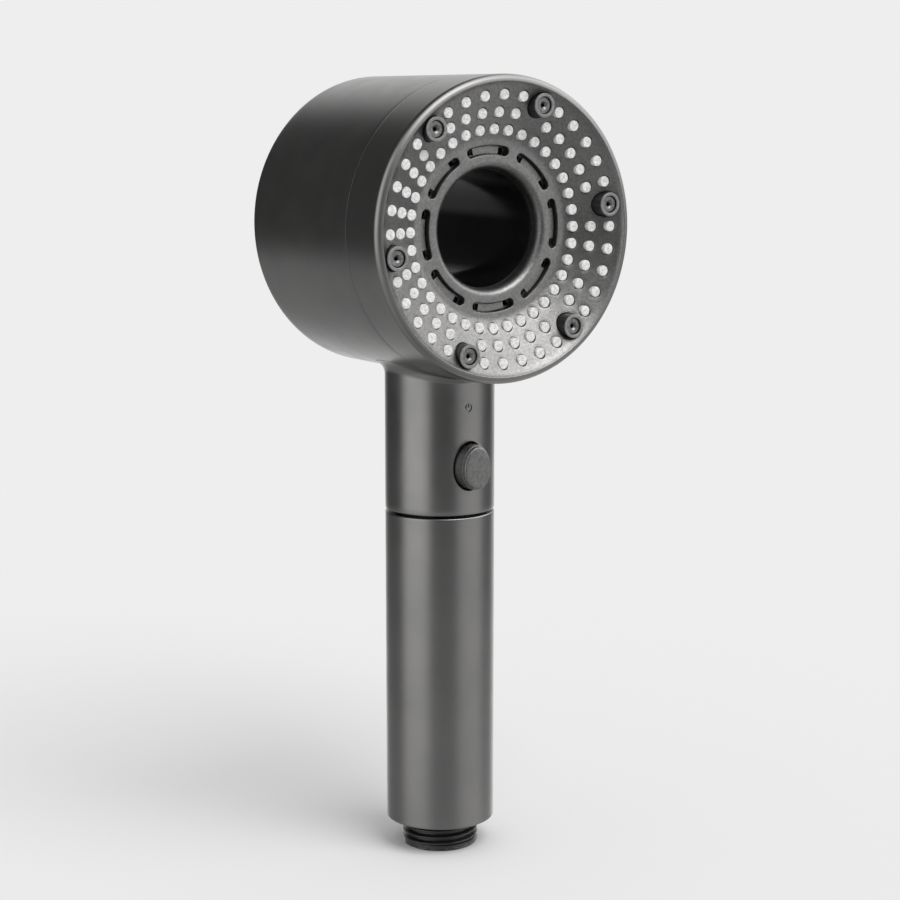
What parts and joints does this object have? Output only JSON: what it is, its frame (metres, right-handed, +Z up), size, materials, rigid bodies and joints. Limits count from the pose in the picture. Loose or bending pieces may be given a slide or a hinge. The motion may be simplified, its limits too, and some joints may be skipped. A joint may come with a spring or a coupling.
{
  "type": "handheld shower head",
  "caption": "Handheld shower head: open-centred round head with a turning multi-mode spray face, stop button on the neck, grip that unscrews for its filter, threaded hose end.",
  "frame": {"origin": "on the handle's axis at the end face of the hose thread, where the part stands", "axes": "+Z up the handle to the head, -Y the way the spray leaves, +X to the right when the face is looked at"},
  "size_m": [0.0792, 0.0644, 0.213],
  "materials": {
    "painted_shell": "satin gunmetal paint with a fine metallic grain",
    "gloss_black": "gloss",
    "black_plastic": "moulded satin",
    "inner_plastic": "natural moulded",
    "silicone": "soft white silicone",
    "rubber": "matt",
    "steel": "bright drawn",
    "filter_cotton": "wound fibre"
  },
  "bodies": {
    "root": {"head_casing": "painted_shell", "rear_cover": "painted_shell", "bore_liner": "gloss_black", "retaining_ring": "steel", "diverter_plate": "inner_plastic", "rain_port_seal": "rubber", "jet_port_seal": "rubber", "mist_port_seal": "rubber", "detent_spring": "steel", "water_chamber": "inner_plastic", "chamber_screw_1": "steel", "chamber_screw_2": "steel", "chamber_screw_3": "steel", "riser_tube": "inner_plastic", "riser_seal_lower": "rubber", "riser_seal_upper": "rubber", "valve_body": "inner_plastic", "valve_plug": "inner_plastic", "return_spring": "steel", "neck_spigot": "black_plastic", "spigot_seal": "rubber"},
    "spray_face": {"face_shell": "painted_shell", "nozzle_mat": "silicone", "jet_manifold": "black_plastic", "selector_plate": "inner_plastic", "jet_insert_1": "black_plastic", "jet_insert_2": "black_plastic", "jet_insert_3": "black_plastic", "jet_insert_4": "black_plastic", "jet_insert_5": "black_plastic", "jet_insert_6": "black_plastic"},
    "detent": {"detent_ball": "steel"},
    "button": {"stop_button": "painted_shell", "valve_spool": "inner_plastic", "spool_seal": "rubber", "seat_washer": "rubber"},
    "filter": {"filter_cap_top": "inner_plastic", "filter_seal": "rubber", "filter_core": "inner_plastic", "filter_media": "filter_cotton", "filter_cap_bottom": "inner_plastic"},
    "grip": {"grip_sleeve": "painted_shell", "hose_connector": "black_plastic", "inlet_screen": "steel", "flow_restrictor": "inner_plastic", "connector_gasket": "rubber"}
  },
  "joints": [
    {"name": "face_turn", "type": "hinge", "parent": "root", "child": "spray_face", "pos_m": [0, 0, 0.1734], "axis": [0, -1, 0], "range_deg": [0, 40]},
    {"name": "detent_travel", "type": "slide", "parent": "root", "child": "detent", "axis": [0, 1, 0], "range_m": [0, 0.0006], "stiffness_N_per_m": 400, "springref_m": -0.002, "deforming": ["detent_spring"]},
    {"name": "button_push", "type": "slide", "parent": "root", "child": "button", "axis": [0, 1, 0], "range_m": [0, 0.0026], "stiffness_N_per_m": 800, "springref_m": -0.003, "deforming": ["return_spring"]},
    {"name": "filter_drop", "type": "slide", "parent": "root", "child": "filter", "axis": [0, 0, -1], "range_m": [0, 0.008]},
    {"name": "grip_unscrew", "type": "hinge", "parent": "filter", "child": "grip", "pos_m": [0, 0, 0.09], "axis": [0, 0, -1], "range_deg": [0, 1441]}
  ],
  "couplings": [
    {"joint": "grip_unscrew", "follows": "filter_drop", "rad_per_m": 3141.6}
  ]
}
